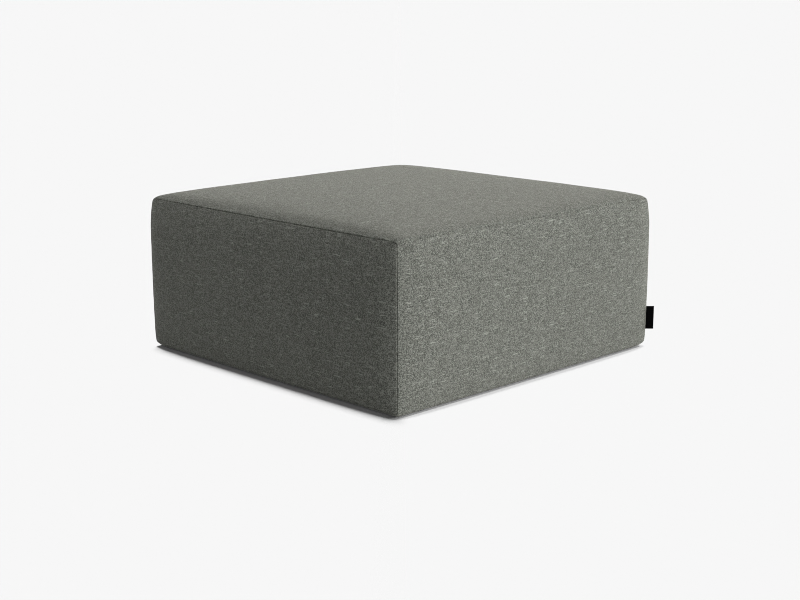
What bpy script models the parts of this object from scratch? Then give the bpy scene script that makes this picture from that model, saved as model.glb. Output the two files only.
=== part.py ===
"""Square, low pouf: a filled block in a sewn fabric cover, with a folded flag label in one corner seam.

Metres, +Z up. The origin is the centre of the underside, on the floor. The walls face -X, +X, -Y and
+Y, and the label stands out of the corner seam between the +X and +Y walls.
"""

import math
from collections import namedtuple

import bpy
import bmesh

# Driving dimensions of the filled block
SEAM_SIDE = 0.800          # width and depth, from corner seam to corner seam
SEAM_HEIGHT = 0.349        # floor to the seam round the top panel
TOP_CROWN = 0.021          # middle of the top panel above its seam
WALL_CROWN = 0.014         # middle of a wall beyond its seams
EDGE_BOW = 0.001           # an edge halfway along, beyond the line between its corners
BASE_SEAM_HEIGHT = 0.005   # the seam round the base, above the floor
BASE_ROLL = 0.018          # width of the base's rim that curves up from the floor to that seam

# Seams are channels: the thread pulls the two panels' edges in along both of their normals
SEAM_DEPTH = 0.0025
SEAM_HALF_WIDTH = 0.0022

# How a panel rolls off to a seam: a tight roll at the seam, then a slow one out to the panel's middle
Roll = namedtuple("Roll", "tight_share tight_length slow_length")
TOP_ROLL = Roll(tight_share=0.40, tight_length=0.012, slow_length=0.090)
WALL_ROLL = Roll(tight_share=0.40, tight_length=0.012, slow_length=0.060)
WALL_FOOT_ROLL = Roll(tight_share=1.0, tight_length=0.020, slow_length=0.020)

# How far the sewing draws a corner in, and along how much of each edge
CornerDraw = namedtuple("CornerDraw", "inward downward reach")
TOP_CORNER = CornerDraw(inward=0.0042, downward=0.0016, reach=0.045)
BASE_CORNER = CornerDraw(inward=0.0088, downward=0.0, reach=0.032)

# Rows of faces from a seam to the middle of its panel, each row wider than the one before
ROWS_ACROSS = 10
ROWS_UP = 8
BASE_RIM_ROWS = 4
ROW_GROWTH = 1.6

# The label: a woven tape folded once, its two ends caught in the corner seam
TAPE_THICKNESS = 0.0010
TAPE_GAP = 0.0004          # between the two layers
LABEL_WIDTH = 0.053        # along the seam
LABEL_FOOT = 0.042         # its lower edge above the floor
LABEL_REACH = 0.584        # its fold, from the block's vertical axis
LABEL_ROOT_DEPTH = 0.007   # how deep its ends go into the seam
CLEARANCE = 0.0003
FOLD_STEPS = 10

COVER_COLOUR = "84867f"
LABEL_COLOUR = "0d0d0e"

HALF = SEAM_SIDE / 2
HALF_LABEL = TAPE_THICKNESS + TAPE_GAP / 2
DIAGONAL = 1 / math.sqrt(2)


def clear_scene():
    for old in list(bpy.data.objects):
        bpy.data.objects.remove(old, do_unlink=True)


def fabric_material(name, hex_colour, roughness):
    """A matt cloth finish from an sRGB hex colour."""
    channels = [int(hex_colour[i:i + 2], 16) / 255 for i in (0, 2, 4)]
    linear = [((c + 0.055) / 1.055) ** 2.4 if c > 0.04045 else c / 12.92 for c in channels]
    material = bpy.data.materials.new(name)
    material.use_nodes = True
    shader = material.node_tree.nodes["Principled BSDF"]
    shader.inputs["Base Color"].default_value = (*linear, 1)
    shader.inputs["Roughness"].default_value = roughness
    shader.inputs["Metallic"].default_value = 0.0
    return material


def add_object(name, mesh_data, material, sharp_degrees):
    mesh = bpy.data.meshes.new(name)
    bmesh.ops.recalc_face_normals(mesh_data, faces=mesh_data.faces)
    mesh_data.to_mesh(mesh)
    mesh_data.free()
    mesh.shade_smooth()
    mesh.set_sharp_from_angle(angle=math.radians(sharp_degrees))
    mesh.materials.append(material)
    piece = bpy.data.objects.new(name, mesh)
    bpy.context.scene.collection.objects.link(piece)
    return piece


def either(a, b):
    """1 where a or b is 1, 0 where both are 0, and smooth between."""
    return a + b - a * b


def rolled(roll, distance):
    """Share of a panel's crown that it has reached at this distance from a seam."""
    tight = 1 - math.exp(-distance / roll.tight_length)
    slow = 1 - math.exp(-distance / roll.slow_length)
    return roll.tight_share * tight + (1 - roll.tight_share) * slow


def fading(distance, reach):
    """1 at the start, easing to exactly 0 at the reach."""
    return max(0.0, 1 - distance / reach) ** 2


def channel(distance):
    """The seam channel's section: 1 in the stitch line, 0 a few millimetres away."""
    return math.exp(-(distance / SEAM_HALF_WIDTH) ** 2)


def wall_out(from_wall, from_next_wall, from_top, from_base, bow_along):
    """How far the filling pushes a point out along one wall's normal."""
    crown = rolled(WALL_ROLL, from_next_wall) * rolled(WALL_ROLL, from_top) * rolled(WALL_FOOT_ROLL, from_base)
    top_draw = fading(from_next_wall, TOP_CORNER.reach) * fading(from_top, TOP_CORNER.reach)
    base_draw = fading(from_next_wall, BASE_CORNER.reach) * fading(from_base, BASE_CORNER.reach)
    out = WALL_CROWN * crown + EDGE_BOW * bow_along
    out -= TOP_CORNER.inward * top_draw + BASE_CORNER.inward * base_draw
    return out * (1 - from_wall / HALF)


def filled(x, y, z):
    """Where the filling holds a point of the flat-sided block x, y, z."""
    from_x, from_y = HALF - abs(x), HALF - abs(y)
    from_top, from_base = SEAM_HEIGHT - z, z
    bow_x, bow_y = 1 - (x / HALF) ** 2, 1 - (y / HALF) ** 2
    bow_z = 1 - (2 * z / SEAM_HEIGHT - 1) ** 2
    level_seams = either(channel(from_top), channel(from_base))

    out_x = wall_out(from_x, from_y, from_top, from_base, either(bow_y, bow_z))
    out_x -= SEAM_DEPTH * channel(from_x) * either(channel(from_y), level_seams)
    out_y = wall_out(from_y, from_x, from_top, from_base, either(bow_x, bow_z))
    out_y -= SEAM_DEPTH * channel(from_y) * either(channel(from_x), level_seams)

    up = TOP_CROWN * rolled(TOP_ROLL, from_x) * rolled(TOP_ROLL, from_y)
    up -= TOP_CORNER.downward * fading(from_x, TOP_CORNER.reach) * fading(from_y, TOP_CORNER.reach)
    lift = BASE_SEAM_HEIGHT * fading(min(from_x, from_y), BASE_ROLL)
    height_share = z / SEAM_HEIGHT
    out_z = up * height_share + lift * (1 - height_share)
    out_z -= SEAM_DEPTH * channel(from_top) * either(channel(from_x), channel(from_y))

    return x + out_x * math.copysign(1, x), y + out_y * math.copysign(1, y), z + out_z


def rows(half_length, count):
    """Places across a panel, from seam to seam, close together beside the seams."""
    share = [(ROW_GROWTH ** i - 1) / (ROW_GROWTH ** count - 1) for i in range(count + 1)]
    near = [-half_length + half_length * s for s in share]
    return near + [-place for place in reversed(near[:-1])]


def add_panel(mesh_data, points, across, up, place):
    """A grid of faces; panels that share a seam share its points."""
    def point(a, b):
        flat = place(a, b)
        key = tuple(round(value, 6) for value in flat)
        if key not in points:
            points[key] = mesh_data.verts.new(filled(*flat))
        return points[key]

    for a0, a1 in zip(across, across[1:]):
        for b0, b1 in zip(up, up[1:]):
            mesh_data.faces.new((point(a0, b0), point(a1, b0), point(a1, b1), point(a0, b1)))
    return point


def add_base(mesh_data, points, across):
    """The base: a rim of faces that curves up to its seam, and one flat face that stands on the floor."""
    inner = across[BASE_RIM_ROWS:-BASE_RIM_ROWS]
    rim_start = across[:BASE_RIM_ROWS + 1]
    rim_end = across[-BASE_RIM_ROWS - 1:]
    for band in (rim_start, rim_end):
        add_panel(mesh_data, points, across, band, lambda a, b: (a, b, 0.0))
        point = add_panel(mesh_data, points, band, inner, lambda a, b: (a, b, 0.0))
    first, last = inner[0], inner[-1]
    loop = [point(a, first) for a in inner[:-1]]
    loop += [point(last, b) for b in inner[:-1]]
    loop += [point(a, last) for a in reversed(inner[1:])]
    loop += [point(first, b) for b in reversed(inner[1:])]
    mesh_data.faces.new(loop)


def build_block(material):
    """The filled cover: top panel, four walls and base, closed along twelve seams."""
    mesh_data = bmesh.new()
    points = {}
    across = rows(HALF, ROWS_ACROSS)
    up = [SEAM_HEIGHT / 2 + place for place in rows(SEAM_HEIGHT / 2, ROWS_UP)]
    add_panel(mesh_data, points, across, across, lambda a, b: (a, b, SEAM_HEIGHT))
    for side in (-HALF, HALF):
        add_panel(mesh_data, points, across, up, lambda a, b: (a, side, b))
        add_panel(mesh_data, points, across, up, lambda a, b: (side, a, b))
    add_base(mesh_data, points, across)
    return add_object("pouf_body", mesh_data, material, sharp_degrees=60)


def on_diagonal(outward, sideways, z):
    """A point by its distance out along the +X +Y diagonal and to one side of it."""
    return (outward - sideways) * DIAGONAL, (outward + sideways) * DIAGONAL, z


def seam_bottom(z):
    """Distance of the label's corner seam from the block's axis, in the bottom of its channel."""
    x, y, _ = filled(HALF, HALF, z)
    return math.hypot(x, y)


def build_label(material):
    """The folded tape: one strip out to the fold and back, its layers a little apart."""
    foot, head = LABEL_FOOT, LABEL_FOOT + LABEL_WIDTH
    root = seam_bottom((foot + head) / 2) - LABEL_ROOT_DEPTH
    bend = LABEL_REACH - HALF_LABEL
    outer, inner = HALF_LABEL, TAPE_GAP / 2
    turns = [math.pi * (i / FOLD_STEPS - 0.5) for i in range(FOLD_STEPS + 1)]
    sections = [((root, -outer), (root, -inner))]
    for turn in turns:
        sections.append((
            (bend + outer * math.cos(turn), outer * math.sin(turn)),
            (bend + inner * math.cos(turn), inner * math.sin(turn)),
        ))
    sections.append(((root, outer), (root, inner)))

    mesh_data = bmesh.new()
    rings = []
    for outside, inside in sections:
        corners = ((outside, foot), (inside, foot), (inside, head), (outside, head))
        rings.append([mesh_data.verts.new(on_diagonal(*flat, z)) for flat, z in corners])
    for ring, following in zip(rings, rings[1:]):
        for i, j in ((0, 1), (1, 2), (2, 3), (3, 0)):
            mesh_data.faces.new((ring[i], ring[j], following[j], following[i]))
    mesh_data.faces.new(rings[0])
    mesh_data.faces.new(rings[-1])
    return add_object("label", mesh_data, material, sharp_degrees=40)


def open_seam_for_label(block):
    """Open the corner seam where the label's ends go in, just wide enough for them."""
    foot, head = LABEL_FOOT - CLEARANCE, LABEL_FOOT + LABEL_WIDTH + CLEARANCE
    deep = seam_bottom((foot + head) / 2) - LABEL_ROOT_DEPTH - CLEARANCE
    side = HALF_LABEL + CLEARANCE
    mesh_data = bmesh.new()
    corners = [(deep, -side), (LABEL_REACH, -side), (LABEL_REACH, side), (deep, side)]
    low = mesh_data.faces.new([mesh_data.verts.new(on_diagonal(*flat, foot)) for flat in corners])
    raised = bmesh.ops.extrude_face_region(mesh_data, geom=[low])
    lifted = [item for item in raised["geom"] if isinstance(item, bmesh.types.BMVert)]
    bmesh.ops.translate(mesh_data, verts=lifted, vec=(0, 0, head - foot))
    cutter = add_object("label_slot", mesh_data, block.data.materials[0], sharp_degrees=40)
    cutter.hide_render = True
    cutter.display_type = "WIRE"
    slot = block.modifiers.new("label_slot", "BOOLEAN")
    slot.operation = "DIFFERENCE"
    slot.solver = "EXACT"
    slot.object = cutter


clear_scene()
pouf_body = build_block(fabric_material("cover_fabric", COVER_COLOUR, roughness=0.9))
open_seam_for_label(pouf_body)
build_label(fabric_material("label_tape", LABEL_COLOUR, roughness=0.7))
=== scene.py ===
"""Looks of the square pouf: its filled fabric cover, its flag label, and the studio round it."""

import math
from collections import namedtuple

import bpy
import numpy as np
from mathutils import Matrix, Vector, noise


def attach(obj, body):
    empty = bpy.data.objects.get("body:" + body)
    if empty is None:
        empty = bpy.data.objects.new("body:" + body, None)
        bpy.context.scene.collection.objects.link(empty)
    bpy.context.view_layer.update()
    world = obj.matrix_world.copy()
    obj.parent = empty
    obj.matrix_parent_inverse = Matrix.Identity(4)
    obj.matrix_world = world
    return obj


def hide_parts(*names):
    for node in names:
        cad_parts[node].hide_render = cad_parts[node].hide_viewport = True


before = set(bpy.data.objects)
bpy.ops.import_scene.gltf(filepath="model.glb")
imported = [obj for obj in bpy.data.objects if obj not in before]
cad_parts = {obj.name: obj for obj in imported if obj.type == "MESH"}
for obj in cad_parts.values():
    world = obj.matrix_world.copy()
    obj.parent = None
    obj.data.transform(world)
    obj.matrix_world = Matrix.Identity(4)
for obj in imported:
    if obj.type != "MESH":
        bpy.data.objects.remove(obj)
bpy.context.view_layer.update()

# ------------------------------------------------------------------------------------------------
# Camera. A long lens about three metres away and a little above the pouf, turned to look straight at
# one corner seam, as the photograph was taken.
# ------------------------------------------------------------------------------------------------
SENSOR_MM = 36.0
LENS_MM = 62.73
CAMERA_DISTANCE = 3.2047
CAMERA_AZIMUTH = math.radians(45.52)
CAMERA_ELEVATION = math.radians(12.72)
CAMERA_ROLL = math.radians(-0.137)
CAMERA_TARGET = Vector((0.0003, 0.0003, 0.1097))

backward = Vector((
    math.sin(CAMERA_AZIMUTH) * math.cos(CAMERA_ELEVATION),
    -math.cos(CAMERA_AZIMUTH) * math.cos(CAMERA_ELEVATION),
    math.sin(CAMERA_ELEVATION),
))
level_right = Vector((math.cos(CAMERA_AZIMUTH), math.sin(CAMERA_AZIMUTH), 0.0))
level_up = backward.cross(level_right)
camera_right = level_right * math.cos(CAMERA_ROLL) + level_up * math.sin(CAMERA_ROLL)
camera_up = level_up * math.cos(CAMERA_ROLL) - level_right * math.sin(CAMERA_ROLL)

camera_data = bpy.data.cameras.new("camera")
camera_data.sensor_width = SENSOR_MM
camera_data.lens = LENS_MM
camera_data.clip_start = 0.1
camera_data.clip_end = 500.0
camera = bpy.data.objects.new("camera", camera_data)
bpy.context.scene.collection.objects.link(camera)
camera.matrix_world = Matrix.Translation(CAMERA_TARGET + backward * CAMERA_DISTANCE) @ Matrix((
    camera_right, camera_up, backward)).transposed().to_4x4()
bpy.context.scene.camera = camera

# ------------------------------------------------------------------------------------------------
# Filled cover. Six panels of woven upholstery cloth, sewn right sides together along twelve edges,
# turned out and filled tight with a foam block, so each panel crowns and each seam sinks between
# two soft lips. It rests on the flat of its base panel.
# ------------------------------------------------------------------------------------------------
SEAM_SIDE = 0.800          # width and depth, from corner seam to corner seam
SEAM_HEIGHT = 0.3474       # floor to the seam round the top panel
TOP_CROWN = 0.0212         # middle of the top panel above its seam
WALL_CROWN = 0.0125        # middle of a wall beyond its seams, before the cloth swells
EDGE_BOW = 0.001           # an edge halfway along, beyond the line between its corners
BASE_SEAM_HEIGHT = 0.008   # the seam round the base, above the floor
BASE_ROLL = 0.022          # width of the base's rim that curves up from the floor to that seam
HALF = SEAM_SIDE / 2

# How a panel rolls off to a seam: a tight roll at the seam, then a slow one out to the panel's middle
Roll = namedtuple("Roll", "tight_share tight_length slow_length")
TOP_ROLL = Roll(tight_share=0.40, tight_length=0.012, slow_length=0.090)
WALL_ROLL = Roll(tight_share=0.40, tight_length=0.012, slow_length=0.060)
WALL_FOOT_ROLL = Roll(tight_share=1.0, tight_length=0.020, slow_length=0.020)

# The stitches draw the corners of the walls in, those of the top down and those of the base up
CornerDraw = namedtuple("CornerDraw", "amount reach")
TOP_CORNER = CornerDraw(amount=0.0042, reach=0.068)
TOP_CORNER_DROP = CornerDraw(amount=0.0050, reach=0.025)
BASE_CORNER = CornerDraw(amount=0.0008, reach=0.018)
BASE_CORNER_LIFT = CornerDraw(amount=0.0050, reach=0.030)

# The crease at a seam: how far the thread pulls it in, and half its width at the lips
UPRIGHT_SEAM_DEPTH = 0.0018
LEVEL_SEAM_DEPTH = 0.0027
SEAM_HALF_WIDTH = 0.0008

# Rows of the mesh: close together in the crease, then evenly spaced over the panel
SEAM_ROWS = (0.0, 0.0002, 0.0005, 0.0008, 0.0012, 0.0017, 0.0024, 0.0036,
             0.0054, 0.0080, 0.0115, 0.0160, 0.0220)
ROW_SPACING = 0.0068

# Unevenness of the filling, and the gathers that the stitches leave beside a seam
UNEVEN = 0.0005
UNEVEN_LENGTH = 0.110
GATHER = 0.0004
GATHER_LENGTH = 0.022
GATHER_REACH = 0.016
FLOOR_REACH = 0.020        # height over which the floor under the base evens them out

# The smallest length that counts, so that nothing is divided by 0
TINY = 1e-9


def either(a, b):
    """1 where a or b is 1, 0 where both are 0, and smooth between."""
    return a + b - a * b


def rolled(roll, distance):
    """Share of a panel's crown that it has reached at this distance from a seam."""
    tight = 1 - np.exp(-distance / roll.tight_length)
    slow = 1 - np.exp(-distance / roll.slow_length)
    return roll.tight_share * tight + (1 - roll.tight_share) * slow


def fading(distance, reach):
    """1 at the start, easing to 0 at the reach."""
    return np.maximum(0.0, 1 - distance / reach) ** 2


def drawn(corner, from_one_edge, from_other_edge):
    """How far the stitches draw the cloth this near to a corner."""
    return corner.amount * fading(from_one_edge, corner.reach) * fading(from_other_edge, corner.reach)


def crease(distance):
    """The crease's section: 1 in the stitch line, 0 a few millimetres away."""
    return np.exp(-(distance / SEAM_HALF_WIDTH) ** 2)


def wall_out(from_wall, from_next_wall, from_top, from_base, bow_along):
    """How far the filling pushes a point out along one wall's normal."""
    crown = rolled(WALL_ROLL, from_next_wall) * rolled(WALL_ROLL, from_top)
    crown = crown * rolled(WALL_FOOT_ROLL, from_base)
    draw = drawn(TOP_CORNER, from_next_wall, from_top) + drawn(BASE_CORNER, from_next_wall, from_base)
    return (WALL_CROWN * crown + EDGE_BOW * bow_along - draw) * (1 - from_wall / HALF)


def seam_in(from_wall, from_next_wall, level_seams):
    """How far the thread pulls a point in along one wall's normal."""
    upright = UPRIGHT_SEAM_DEPTH * crease(from_next_wall)
    return crease(from_wall) * np.maximum(upright, LEVEL_SEAM_DEPTH * level_seams)


def filled(flat):
    """Where the filling holds the points of the flat-sided block."""
    x, y, z = flat.T
    from_x, from_y = HALF - np.abs(x), HALF - np.abs(y)
    from_top, from_base = SEAM_HEIGHT - z, z
    bow_x, bow_y = 1 - (x / HALF) ** 2, 1 - (y / HALF) ** 2
    bow_z = 1 - (2 * z / SEAM_HEIGHT - 1) ** 2
    level_seams = either(crease(from_top), crease(from_base))

    out_x = wall_out(from_x, from_y, from_top, from_base, either(bow_y, bow_z))
    out_x -= seam_in(from_x, from_y, level_seams)
    out_y = wall_out(from_y, from_x, from_top, from_base, either(bow_x, bow_z))
    out_y -= seam_in(from_y, from_x, level_seams)

    share_x, share_y = rolled(TOP_ROLL, from_x), rolled(TOP_ROLL, from_y)
    up = TOP_CROWN * share_x * share_y / np.maximum(either(share_x, share_y), TINY)
    up -= drawn(TOP_CORNER_DROP, from_x, from_y)
    lift = BASE_SEAM_HEIGHT * fading(np.minimum(from_x, from_y), BASE_ROLL)
    lift += drawn(BASE_CORNER_LIFT, from_x, from_y)
    height_share = z / SEAM_HEIGHT
    out_z = up * height_share + lift * (1 - height_share)
    out_z -= LEVEL_SEAM_DEPTH * crease(from_top) * either(crease(from_x), crease(from_y))
    return np.stack([x + np.copysign(1, x) * out_x, y + np.copysign(1, y) * out_y, z + out_z], axis=1)


def rows(length):
    """Places across a panel, from seam to seam."""
    near = np.array(SEAM_ROWS)
    first, last = near[-1], length - near[-1]
    middle = np.linspace(first, last, round((last - first) / ROW_SPACING) + 1)
    return np.concatenate([near, middle[1:-1], (length - near)[::-1]])


def lattice(across, up):
    """Points of the block's surface, and a grid of their numbers for each of its six panels."""
    count_a, count_u = len(across), len(up)
    i, j, k = np.meshgrid(range(count_a), range(count_a), range(count_u), indexing="ij")
    on_surface = (i % (count_a - 1) == 0) | (j % (count_a - 1) == 0) | (k % (count_u - 1) == 0)
    number = np.full(on_surface.shape, -1)
    number[on_surface] = np.arange(on_surface.sum())
    points = np.stack([across[i[on_surface]], across[j[on_surface]], up[k[on_surface]]], axis=1)
    panels = {
        "top": number[:, :, -1], "base": number[::-1, :, 0],
        "wall_left": number[:, 0, :], "wall_right": number[-1, :, :],
        "wall_back": number[::-1, -1, :], "wall_far": number[0, ::-1, :],
    }
    return points, panels


def quads(grid):
    """The four corner numbers of each face of a panel, anticlockwise from outside."""
    return np.stack([grid[:-1, :-1], grid[1:, :-1], grid[1:, 1:], grid[:-1, 1:]], axis=-1).reshape(-1, 4)


def mesh_piece(name, points, faces):
    """A new smooth-shaded mesh object from points and face corners."""
    mesh = bpy.data.meshes.new(name)
    mesh.from_pydata(points.tolist(), [], faces.tolist())
    mesh.update()
    mesh.shade_smooth()
    piece = bpy.data.objects.new(name, mesh)
    bpy.context.scene.collection.objects.link(piece)
    return piece


def noise_at(points, length):
    """Smooth noise from -1 to 1 at each point, with bumps about this long."""
    return np.array([noise.noise(Vector(point)) for point in points / length])


def vertex_normals(mesh):
    """The outward direction at each point of a mesh."""
    normals = np.zeros(len(mesh.vertices) * 3)
    mesh.vertices.foreach_get("normal", normals)
    return normals.reshape(-1, 3)


def seam_distance(flat):
    """How far each point lies from the nearest seam, over the flat-sided block."""
    from_faces = np.stack([
        HALF - np.abs(flat[:, 0]),
        HALF - np.abs(flat[:, 1]),
        np.minimum(flat[:, 2], SEAM_HEIGHT - flat[:, 2]),
    ], axis=1)
    return np.sort(from_faces, axis=1)[:, 1]


def uneven(name, flat, faces):
    """A mesh of the filled cover with the slight lumps that the filling and the stitches leave."""
    even = filled(flat)
    piece = mesh_piece(name, even, faces)
    out = UNEVEN * noise_at(flat, UNEVEN_LENGTH)
    out += GATHER * noise_at(flat, GATHER_LENGTH) * np.exp(-seam_distance(flat) / GATHER_REACH)
    off_floor = np.minimum(1.0, flat[:, 2] / FLOOR_REACH)
    points = even + vertex_normals(piece.data) * (out * off_floor)[:, None]
    piece.data.vertices.foreach_set("co", points.ravel())
    piece.data.update()
    return piece, points


# The cloth swells under the filling's pressure in a simulation of a coarser copy of the cover. Thread
# holds the seams, the floor holds the base, and the foam under the cloth holds the panels softly.
SWELL_SPACING = 0.0125
SWELL_PRESSURE = 4.0
SWELL_FRAMES = 20
SWELL_CAP = 0.006
FOAM_HOLD = 0.225
FOAM_HOLD_AT_SEAM = 0.100
FOAM_HOLD_REACH = 0.060


def swollen(flat, faces):
    """How far the simulation moves each point of the coarser copy, capped."""
    form, start = uneven("swelling_cover", flat, faces)
    distance = seam_distance(flat)
    sewn = (distance < TINY) | (flat[:, 2] < TINY)
    hold = np.where(sewn, 1.0, FOAM_HOLD + FOAM_HOLD_AT_SEAM * np.exp(-distance / FOAM_HOLD_REACH))
    held = form.vertex_groups.new(name="held")
    for number, weight in enumerate(hold.tolist()):
        held.add([number], weight, "REPLACE")
    simulation = form.modifiers.new("swelling", "CLOTH")
    simulation.settings.vertex_group_mass = "held"
    simulation.settings.use_pressure = True
    simulation.settings.uniform_pressure_force = SWELL_PRESSURE
    simulation.settings.effector_weights.gravity = 0.0
    simulation.collision_settings.use_collision = False
    simulation.point_cache.frame_start = 1
    simulation.point_cache.frame_end = SWELL_FRAMES
    for step in range(1, SWELL_FRAMES + 1):
        bpy.context.scene.frame_set(step)
    swelled = form.evaluated_get(bpy.context.evaluated_depsgraph_get())
    end = np.zeros(start.size)
    swelled.data.vertices.foreach_get("co", end)
    bpy.data.objects.remove(form)
    bpy.context.scene.frame_set(1)
    moved = end.reshape(-1, 3) - start
    length = np.linalg.norm(moved, axis=1, keepdims=True)
    return moved * np.minimum(1.0, SWELL_CAP / np.maximum(length, TINY))


def even_rows(length):
    """Places across a panel of the coarser copy, from seam to seam."""
    return np.linspace(0, length, round(length / SWELL_SPACING) + 1)


def carry(even, places):
    """Weights that carry values at evenly spaced rows over to other places, in one smooth curve."""
    at = (places - even[0]) / (even[1] - even[0])
    before = np.clip(np.floor(at).astype(int), 0, len(even) - 2)
    t = at - before
    weights = np.zeros((len(places), len(even)))
    parts = (-t + 2 * t**2 - t**3, 2 - 5 * t**2 + 3 * t**3, t + 4 * t**2 - 3 * t**3, t**3 - t**2)
    for offset, part in zip((-1, 0, 1, 2), parts):
        np.add.at(weights, (np.arange(len(places)), np.clip(before + offset, 0, len(even) - 1)), part / 2)
    return weights


across = rows(SEAM_SIDE) - HALF
up = rows(SEAM_HEIGHT)
flat_points, panels = lattice(across, up)
cover_faces = np.concatenate([quads(grid) for grid in panels.values()])
cover, shaped = uneven("cover", flat_points, cover_faces)

coarse_across, coarse_up = even_rows(SEAM_SIDE) - HALF, even_rows(SEAM_HEIGHT)
coarse_flat, coarse_panels = lattice(coarse_across, coarse_up)
swell = swollen(coarse_flat, np.concatenate([quads(grid) for grid in coarse_panels.values()]))
carry_across, carry_up = carry(coarse_across, across), carry(coarse_up, up)
for panel, grid in panels.items():
    carry_other = carry_across if panel in ("top", "base") else carry_up
    shaped[grid] += np.einsum("ia,abk,jb->ijk", carry_across, swell[coarse_panels[panel]], carry_other)
cover.data.vertices.foreach_set("co", shaped.ravel())
cover.data.update()

# The cloth's own flat coordinates, in metres, so the weave runs square to each panel's edges. Each
# panel is cut from another place of the cloth.
PANEL_AXES = {"top": (0, 1), "base": (0, 1), "wall_left": (0, 2), "wall_right": (1, 2),
              "wall_back": (0, 2), "wall_far": (1, 2)}
CUT_STEP = np.array((1.37, 0.61))
cloth_uv = []
for shift, (panel, grid) in enumerate(panels.items()):
    along, rise = PANEL_AXES[panel]
    corners = quads(grid).ravel()
    cloth_uv.append(flat_points[corners][:, (along, rise)] + CUT_STEP * shift)
uv_layer = cover.data.uv_layers.new(name="cloth")
uv_layer.data.foreach_set("uv", np.concatenate(cloth_uv).ravel())


def add_node(tree, kind, settings=(), links=()):
    """A new node of this kind, its settings, and its inputs as values or as other nodes' outputs."""
    made = tree.nodes.new(kind)
    for name, value in dict(settings).items():
        setattr(made, name, value)
    for name, value in dict(links).items():
        if isinstance(value, bpy.types.NodeSocket):
            tree.links.new(value, made.inputs[name])
        else:
            made.inputs[name].default_value = value
    return made


def linear(hex_colour):
    """An sRGB hex colour as linear red, green, blue and alpha."""
    channels = [int(hex_colour[start:start + 2], 16) / 255 for start in (0, 2, 4)]
    return (*[((c + 0.055) / 1.055) ** 2.4 if c > 0.04045 else c / 12.92 for c in channels], 1.0)


def new_material(name):
    """An empty node material, and its node tree."""
    material = bpy.data.materials.new(name)
    material.use_nodes = True
    material.node_tree.nodes.clear()
    return material, material.node_tree


# Wool-blend upholstery cloth, woven plain from two melange yarns. The eye gets a fine grain of light and
# dark flecks, short slubs along the threads, and a soft bloom at the edges, where the fuzz catches light.
THREAD_PITCH = 0.0016      # such cloth has about 0.9 mm; drawn nearly twice as coarse, so that it shows
THREAD_RELIEF = 0.0004     # height of a thread above the gaps beside it
WAVER_LENGTH = 1 / 60      # the threads wander off their straight lines over this length
WAVER = 0.0030             # the most that they wander, from one side to the other
WARP_FLECK = 0.010         # length of a change of colour along an upright thread
WEFT_FLECK = 0.022         # the same along a level thread, whose yarn is slubbed
BLOTCH = 0.011             # length of the faint cloudiness of the dye
SLUB_LENGTH = 0.030        # spacing of the slubs along the level threads
SLUB_WIDTH = 0.0026
DARK_YARN = "3c3e39"
LIGHT_YARN = "b9bcb2"
BLOOM = "fffcee"

# How much of the way from dark to light yarn each pattern changes the colour; the threads' height darkens
# the gaps between them, as painted shade
YARN_CHANGE = 0.55
FIBRE_CHANGE = 0.57
BLOTCH_CHANGE = 0.08
GAP_SHADE_CHANGE = 0.25
SLUB_START = 0.70          # the slubs are where their noise is above this
SLUB_CHANGE = 0.54
TONE_CURVE = 1.5           # there is more dark yarn than light
APART = 3.713              # step in the noise from one thread to the next, so that they differ

melange_cloth, tree = new_material("melange_plain_weave")
cloth_place = add_node(tree, "ShaderNodeUVMap", {"uv_map": "cloth"}).outputs["UV"]
wander = add_node(tree, "ShaderNodeTexNoise", {"noise_dimensions": "2D"}, {
    "Vector": cloth_place, "Scale": 1 / WAVER_LENGTH, "Detail": 1.0}).outputs["Color"]
centred = add_node(tree, "ShaderNodeVectorMath", {"operation": "SUBTRACT"}, {
    0: wander, 1: (0.5, 0.5, 0.5)}).outputs[0]
wavering = add_node(tree, "ShaderNodeVectorMath", {"operation": "MULTIPLY_ADD"}, {
    0: centred, 1: (WAVER, WAVER, 0.0), 2: cloth_place}).outputs[0]

# The plain weave: the threads are numbered both ways, and cross over and under by turns
threads = add_node(tree, "ShaderNodeVectorMath", {"operation": "SCALE"}, {
    0: wavering, "Scale": 1 / THREAD_PITCH}).outputs[0]
thread_number = add_node(tree, "ShaderNodeVectorMath", {"operation": "FLOOR"}, {0: threads}).outputs[0]
in_thread = add_node(tree, "ShaderNodeVectorMath", {"operation": "FRACTION"}, {0: threads}).outputs[0]
number_sum = add_node(tree, "ShaderNodeVectorMath", {"operation": "DOT_PRODUCT"}, {
    0: thread_number, 1: (1.0, 1.0, 0.0)}).outputs["Value"]
warp_over = add_node(tree, "ShaderNodeMath", {"operation": "FLOORED_MODULO"}, {
    0: number_sum, 1: 2.0}).outputs[0]

# Each thread is a round ridge, highest in the middle of its crossing
across_thread = add_node(tree, "ShaderNodeVectorMath", {"operation": "SCALE"}, {
    0: in_thread, "Scale": math.pi}).outputs[0]
ridges = add_node(tree, "ShaderNodeVectorMath", {"operation": "SINE"}, {0: across_thread}).outputs[0]
crossings = add_node(tree, "ShaderNodeVectorMath", {"operation": "MULTIPLY_ADD"}, {
    0: ridges, 1: (0.5, 0.5, 0.5), 2: (0.5, 0.5, 0.5)}).outputs[0]
ridge_x, ridge_y, _ = add_node(tree, "ShaderNodeSeparateXYZ", (), {0: ridges}).outputs
crossing_x, crossing_y, _ = add_node(tree, "ShaderNodeSeparateXYZ", (), {0: crossings}).outputs
warp_height = add_node(tree, "ShaderNodeMath", {"operation": "MULTIPLY"}, {
    0: ridge_x, 1: crossing_y}).outputs[0]
weft_height = add_node(tree, "ShaderNodeMath", {"operation": "MULTIPLY"}, {
    0: ridge_y, 1: crossing_x}).outputs[0]
thread_height = add_node(tree, "ShaderNodeMix", {"data_type": "FLOAT"}, {
    "Factor": warp_over, "A": weft_height, "B": warp_height}).outputs["Result"]

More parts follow.
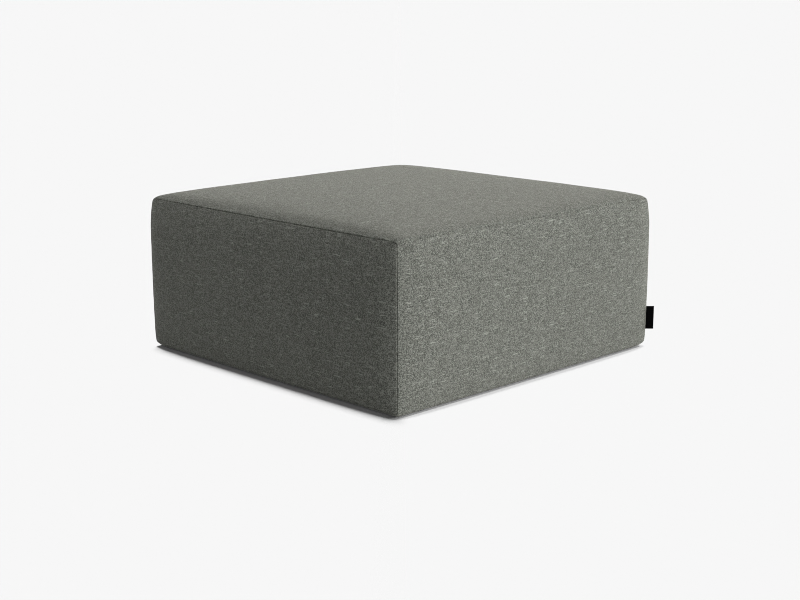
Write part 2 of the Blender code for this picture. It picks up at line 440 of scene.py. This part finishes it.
# Melange yarn changes colour along its length, and from thread to thread
thread_step = add_node(tree, "ShaderNodeVectorMath", {"operation": "SCALE"}, {
    0: thread_number, "Scale": APART}).outputs[0]
fleck_place = add_node(tree, "ShaderNodeVectorMath", {"operation": "DIVIDE"}, {
    0: wavering, 1: (WEFT_FLECK, WARP_FLECK, 1.0)}).outputs[0]
step_x, step_y, _ = add_node(tree, "ShaderNodeSeparateXYZ", (), {0: thread_step}).outputs
fleck_x, fleck_y, _ = add_node(tree, "ShaderNodeSeparateXYZ", (), {0: fleck_place}).outputs
along_warp = add_node(tree, "ShaderNodeCombineXYZ", (), {"X": step_x, "Y": fleck_y}).outputs[0]
along_weft = add_node(tree, "ShaderNodeCombineXYZ", (), {"X": fleck_x, "Y": step_y}).outputs[0]
over_thread = add_node(tree, "ShaderNodeMix", {"data_type": "VECTOR"}, {
    "Factor": warp_over, 4: along_weft, 5: along_warp}).outputs[1]
yarn_tone = add_node(tree, "ShaderNodeTexNoise", {"noise_dimensions": "2D"}, {
    "Vector": over_thread, "Scale": 1.0, "Detail": 2.0, "Roughness": 0.6}).outputs["Fac"]
fibre_tone = add_node(tree, "ShaderNodeTexWhiteNoise", {"noise_dimensions": "2D"}, {
    "Vector": thread_number}).outputs["Value"]
blotch_tone = add_node(tree, "ShaderNodeTexNoise", {"noise_dimensions": "2D"}, {
    "Vector": cloth_place, "Scale": 1 / BLOTCH, "Detail": 2.0, "Roughness": 0.55}).outputs["Fac"]

# Here and there a thick soft place in the level yarn lies on top as a short pale dash
slub_place = add_node(tree, "ShaderNodeVectorMath", {"operation": "DIVIDE"}, {
    0: wavering, 1: (SLUB_LENGTH, SLUB_WIDTH, 1.0)}).outputs[0]
slub_noise = add_node(tree, "ShaderNodeTexNoise", {"noise_dimensions": "2D"}, {
    "Vector": slub_place, "Scale": 1.0, "Detail": 0.0}).outputs["Fac"]
slub_tone = add_node(tree, "ShaderNodeMapRange", (), {
    "Value": slub_noise, "From Min": SLUB_START, "To Max": SLUB_CHANGE}).outputs[0]

# Each pattern moves the tone to both sides of its middle, and the slubs only lighten it
# The threads' height paints shade into the gaps between them and lightens their crests
changes = [(yarn_tone, YARN_CHANGE), (fibre_tone, FIBRE_CHANGE), (blotch_tone, BLOTCH_CHANGE),
           (thread_height, GAP_SHADE_CHANGE)]
tone = (1 - sum(change for _, change in changes)) / 2
for pattern, change in changes + [(slub_tone, 1.0)]:
    tone = add_node(tree, "ShaderNodeMath", {"operation": "MULTIPLY_ADD"}, {
        0: pattern, 1: change, 2: tone}).outputs[0]
tone = add_node(tree, "ShaderNodeMath", {"operation": "MAXIMUM"}, {0: tone, 1: 0.0}).outputs[0]
tone = add_node(tree, "ShaderNodeMath", {"operation": "POWER"}, {0: tone, 1: TONE_CURVE}).outputs[0]
cloth_colour = add_node(tree, "ShaderNodeMix", {"data_type": "RGBA", "clamp_factor": True}, {
    "Factor": tone, 6: linear(DARK_YARN), 7: linear(LIGHT_YARN)}).outputs[2]
relief = add_node(tree, "ShaderNodeBump", (), {
    "Strength": 0.8, "Distance": THREAD_RELIEF, "Height": thread_height}).outputs["Normal"]
cloth_shader = add_node(tree, "ShaderNodeBsdfPrincipled", (), {
    "Base Color": cloth_colour, "Roughness": 0.92, "IOR": 1.45, "Specular IOR Level": 0.2,
    "Sheen Weight": 0.2, "Sheen Roughness": 0.5, "Sheen Tint": linear(BLOOM), "Normal": relief})
add_node(tree, "ShaderNodeOutputMaterial", (), {"Surface": cloth_shader.outputs[0]})
cover.data.materials.append(melange_cloth)

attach(cover, "root")
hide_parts("pouf_body")

# ------------------------------------------------------------------------------------------------
# Flag label. A short length of black woven satin tape, folded once, its two cut ends caught low down
# in the corner seam between the right and the back wall. Both its sides are bare.
# ------------------------------------------------------------------------------------------------
LABEL_WIDTH = 0.053        # along the seam
LABEL_FOOT = 0.042         # its lower edge above the floor
LABEL_REACH = 0.584        # its fold, from the pouf's upright axis
LABEL_ROOT = 0.5560        # its cut ends inside the seam, from the same axis
TAPE_LENGTH = 0.056        # from one cut end to the other, laid flat
TAPE_THICKNESS = 0.0007
FOLD_RADIUS = 0.0011
PINCH_LENGTH = 0.018       # the seam pinches the two layers together over this length
PINCH = 0.4                # and to this share of their gap
TAPE_COLUMNS = 61
TAPE_ROWS = 37
FOLD_EDGE_DEGREES = 50     # edges sharper than this stay crisp
DIAGONAL = 1 / math.sqrt(2)


def tape_line(count):
    """The folded tape's centre line, from one cut end round the fold to the other."""
    straight = LABEL_REACH - TAPE_THICKNESS / 2 - FOLD_RADIUS - LABEL_ROOT
    bend = math.pi * FOLD_RADIUS
    path = np.linspace(0, 2 * straight + bend, count)
    turn = np.clip((path - straight) / FOLD_RADIUS, 0, math.pi)
    outward = LABEL_ROOT + np.minimum(path, straight) - np.maximum(0, path - straight - bend)
    outward += FOLD_RADIUS * np.sin(turn)
    side = -FOLD_RADIUS * np.cos(turn)
    opened = np.clip((outward - LABEL_ROOT) / PINCH_LENGTH, 0, 1)
    return outward, side * (PINCH + (1 - PINCH) * opened)


outward, side = tape_line(TAPE_COLUMNS)
z_rows = np.linspace(LABEL_FOOT, LABEL_FOOT + LABEL_WIDTH, TAPE_ROWS)
tangent = np.stack([np.gradient(outward), np.gradient(side)], axis=1)
tangent /= np.linalg.norm(tangent, axis=1, keepdims=True)
tape_sides = []
for half_layer in (-TAPE_THICKNESS / 2, TAPE_THICKNESS / 2):
    o, z = np.meshgrid(outward + half_layer * tangent[:, 1], z_rows, indexing="ij")
    s, _ = np.meshgrid(side - half_layer * tangent[:, 0], z_rows, indexing="ij")
    tape_sides.append(np.stack([(o - s) * DIAGONAL, (o + s) * DIAGONAL, z], axis=-1).reshape(-1, 3))
inner = np.arange(TAPE_COLUMNS * TAPE_ROWS).reshape(TAPE_COLUMNS, TAPE_ROWS)
outer = inner + inner.size


def rim(a, b):
    """Faces that join two rows of points."""
    return np.stack([a[:-1], a[1:], b[1:], b[:-1]], axis=-1).reshape(-1, 4)


label_faces = np.concatenate([
    quads(inner), quads(outer)[:, ::-1],
    rim(inner[0], outer[0]), rim(outer[-1], inner[-1]),
    rim(outer[:, 0], inner[:, 0]), rim(inner[:, -1], outer[:, -1]),
])
label = mesh_piece("label_tape", np.concatenate(tape_sides), label_faces)
label.data.set_sharp_from_angle(angle=math.radians(FOLD_EDGE_DEGREES))
tape_flat = np.meshgrid(np.linspace(0, TAPE_LENGTH, TAPE_COLUMNS), z_rows, indexing="ij")
tape_uv = np.tile(np.stack(tape_flat, axis=-1).reshape(-1, 2), (2, 1))
label_uv = label.data.uv_layers.new(name="cloth")
label_uv.data.foreach_set("uv", tape_uv[label_faces.ravel()].ravel())

# Black polyester satin tape, woven on a needle loom. The eye gets a deep, close black with the faintest
# change from rib to rib, and almost no shine.
RIB_PITCH = 0.0050         # such tape has about 0.8 mm; drawn six times as coarse, so that it shows
RIB_RELIEF = 0.0001
WAVE_TURNS = 20 / (2 * math.pi)    # ribs that the wave texture draws in one unit at a scale of 1
RIB_DARK = "020203"
RIB_LIGHT = "060607"

satin_tape, tree = new_material("woven_satin_tape")
tape_place = add_node(tree, "ShaderNodeUVMap", {"uv_map": "cloth"}).outputs["UV"]
tape_ribs = add_node(tree, "ShaderNodeTexWave", {"bands_direction": "Y"}, {
    "Vector": tape_place, "Scale": 1 / (RIB_PITCH * WAVE_TURNS), "Distortion": 0.4}).outputs["Fac"]
tape_colour = add_node(tree, "ShaderNodeMix", {"data_type": "RGBA"}, {
    "Factor": tape_ribs, 6: linear(RIB_DARK), 7: linear(RIB_LIGHT)}).outputs[2]
tape_relief = add_node(tree, "ShaderNodeBump", (), {
    "Strength": 0.5, "Distance": RIB_RELIEF, "Height": tape_ribs}).outputs["Normal"]
tape_shader = add_node(tree, "ShaderNodeBsdfPrincipled", (), {
    "Base Color": tape_colour, "Roughness": 0.55, "IOR": 1.5, "Specular IOR Level": 0.02,
    "Normal": tape_relief})
add_node(tree, "ShaderNodeOutputMaterial", (), {"Surface": tape_shader.outputs[0]})
label.data.materials.append(satin_tape)

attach(label, "root")
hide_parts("label")

# ------------------------------------------------------------------------------------------------
# Studio. A seamless sheet of pale paper under soft lights. The pouf's tight shadow is dark along its
# left foot and pale along its right one, so the paper is two sheets with their own lights, which
# fade into each other at the front corner. The wide panels round the sides light only the pouf.
# ------------------------------------------------------------------------------------------------
FLOOR_HALF = 300.0
PAPER_GREY = "383838"      # the matt paper itself, darker than it looks, because strong lights fall on it
PAPER_SHOWS = "f7f7f7"     # the paper as it shows under those lights, and the wall behind it
WASH = 0.04                # share of the paper's light that comes from all round and leaves no shadow
BOUNCE_GREY = "696969"     # the greyer floor that lights the walls from below
SHEET_GAP = 0.0001
JOIN_START = -0.045        # the sheets fade into each other between these places, along the picture
JOIN_END = 0.020

paper_grey = linear(PAPER_GREY)
paper_shows = linear(PAPER_SHOWS)


def flat_floor(name, height):
    """A large level sheet that casts no shadow and is no lamp, and the tree of its empty material."""
    corners = [(-FLOOR_HALF, -FLOOR_HALF), (FLOOR_HALF, -FLOOR_HALF),
               (FLOOR_HALF, FLOOR_HALF), (-FLOOR_HALF, FLOOR_HALF)]
    sheet = mesh_piece(name, np.array([(x, y, height) for x, y in corners]), np.array([(0, 1, 2, 3)]))
    material, tree = new_material(name + "_matt_paper")
    material.cycles.emission_sampling = "NONE"
    sheet.data.materials.append(material)
    sheet.visible_shadow = False
    return sheet, tree


def paper_shader(tree):
    """Matt paper with a little of its light from all round."""
    matt = add_node(tree, "ShaderNodeBsdfDiffuse", (), {"Color": paper_grey})
    wash = add_node(tree, "ShaderNodeEmission", (), {"Color": paper_shows, "Strength": WASH})
    return add_node(tree, "ShaderNodeAddShader", (), {0: matt.outputs[0], 1: wash.outputs[0]}).outputs[0]


left_floor, tree = flat_floor("left_floor", -SHEET_GAP)
left_floor.visible_diffuse = False
add_node(tree, "ShaderNodeOutputMaterial", (), {"Surface": paper_shader(tree)})

right_floor, tree = flat_floor("right_floor", 0.0)
right_floor.visible_diffuse = False
here = add_node(tree, "ShaderNodeNewGeometry").outputs["Position"]
to_right = add_node(tree, "ShaderNodeVectorMath", {"operation": "DOT_PRODUCT"}, {
    0: here, 1: level_right}).outputs["Value"]
joined = add_node(tree, "ShaderNodeMapRange", {"interpolation_type": "SMOOTHSTEP"}, {
    "Value": to_right, "From Min": JOIN_START, "From Max": JOIN_END}).outputs[0]
clear = add_node(tree, "ShaderNodeBsdfTransparent").outputs[0]
right_paper = add_node(tree, "ShaderNodeMixShader", (), {0: joined, 1: clear, 2: paper_shader(tree)})
add_node(tree, "ShaderNodeOutputMaterial", (), {"Surface": right_paper.outputs[0]})

bounce_floor, tree = flat_floor("bounce_floor", -2 * SHEET_GAP)
bounce_floor.visible_camera = False
glow = add_node(tree, "ShaderNodeEmission", (), {"Color": linear(BOUNCE_GREY)}).outputs[0]
add_node(tree, "ShaderNodeOutputMaterial", (), {"Surface": glow})

world = bpy.data.worlds.new("white_room")
bpy.context.scene.world = world
world.use_nodes = True
world.node_tree.nodes["Background"].inputs["Color"].default_value = paper_shows
world.cycles_visibility.diffuse = False
world.cycles_visibility.glossy = False


def light_group(name, pieces):
    """A collection of the only pieces that a light reaches, or that stop it."""
    group = bpy.data.collections.new(name)
    for piece in pieces:
        group.objects.link(piece)
    return group


def sun(name, azimuth, elevation, strength, softness, reaches, blockers=None):
    """A soft light from far away, by its direction round from +X and up, in degrees."""
    data = bpy.data.lights.new(name, "SUN")
    data.energy = strength * math.pi
    data.angle = math.radians(softness)
    lamp = bpy.data.objects.new(name, data)
    round_z, above = math.radians(azimuth), math.radians(elevation)
    level = math.cos(above)
    towards = Vector((math.cos(round_z) * level, math.sin(round_z) * level, math.sin(above)))
    lamp.rotation_mode = "QUATERNION"
    lamp.rotation_quaternion = towards.to_track_quat("Z", "Y")
    lamp.light_linking.receiver_collection = reaches
    lamp.light_linking.blocker_collection = blockers
    bpy.context.scene.collection.objects.link(lamp)


cover_only = light_group("cover_only", [cover])
pouf_only = light_group("pouf_only", [cover, label])

# Each of a sheet's lights: its direction round and up, its softness, and its share of the brightness.
# The label is too thin to leave a shadow on the paper.
FloorLight = namedtuple("FloorLight", "azimuth elevation softness share")
LEFT_LIGHTS = (FloorLight(150, 84, 6, 0.340), FloorLight(180, 84, 6, 0.470),
               FloorLight(-90, 86, 6, 0.150), FloorLight(-90, 45, 30, 0.040))
RIGHT_LIGHTS = (FloorLight(40, 86, 8, 0.300), FloorLight(40, 55, 20, 0.440),
                FloorLight(20, 25, 20, 0.260))
for sheet, lights in ((left_floor, LEFT_LIGHTS), (right_floor, RIGHT_LIGHTS)):
    sheet_only = light_group(sheet.name + "_only", [sheet])
    for light in lights:
        full = (1 - WASH) * paper_shows[0] / paper_grey[0] / math.sin(math.radians(light.elevation))
        sun(sheet.name + "_light", light.azimuth, light.elevation, light.share * full, light.softness,
            sheet_only, cover_only)

# The pouf's own lights: name, direction round and up, strength and softness
PANELS = (
    ("right_panel", -12, 12, 0.640, 30),
    ("back_right_panel", 60, 12, 0.358, 24),
    ("back_panel", 90, 12, 0.620, 24),
    ("far_panel", 135, 12, 0.110, 24),
    ("left_panel", 180, 12, 0.620, 24),
    ("overhead_panel", 0, 90, 0.122, 24),
)
for panel in PANELS:
    sun(*panel, pouf_only)

# The weave is as fine as the picture can show, so the picture is filtered and cleaned of noise lightly,
# and the colours are shown as they are
bpy.context.scene.cycles.filter_width = 1.0
bpy.context.scene.cycles.denoising_prefilter = "NONE"
bpy.context.scene.view_settings.view_transform = "Standard"
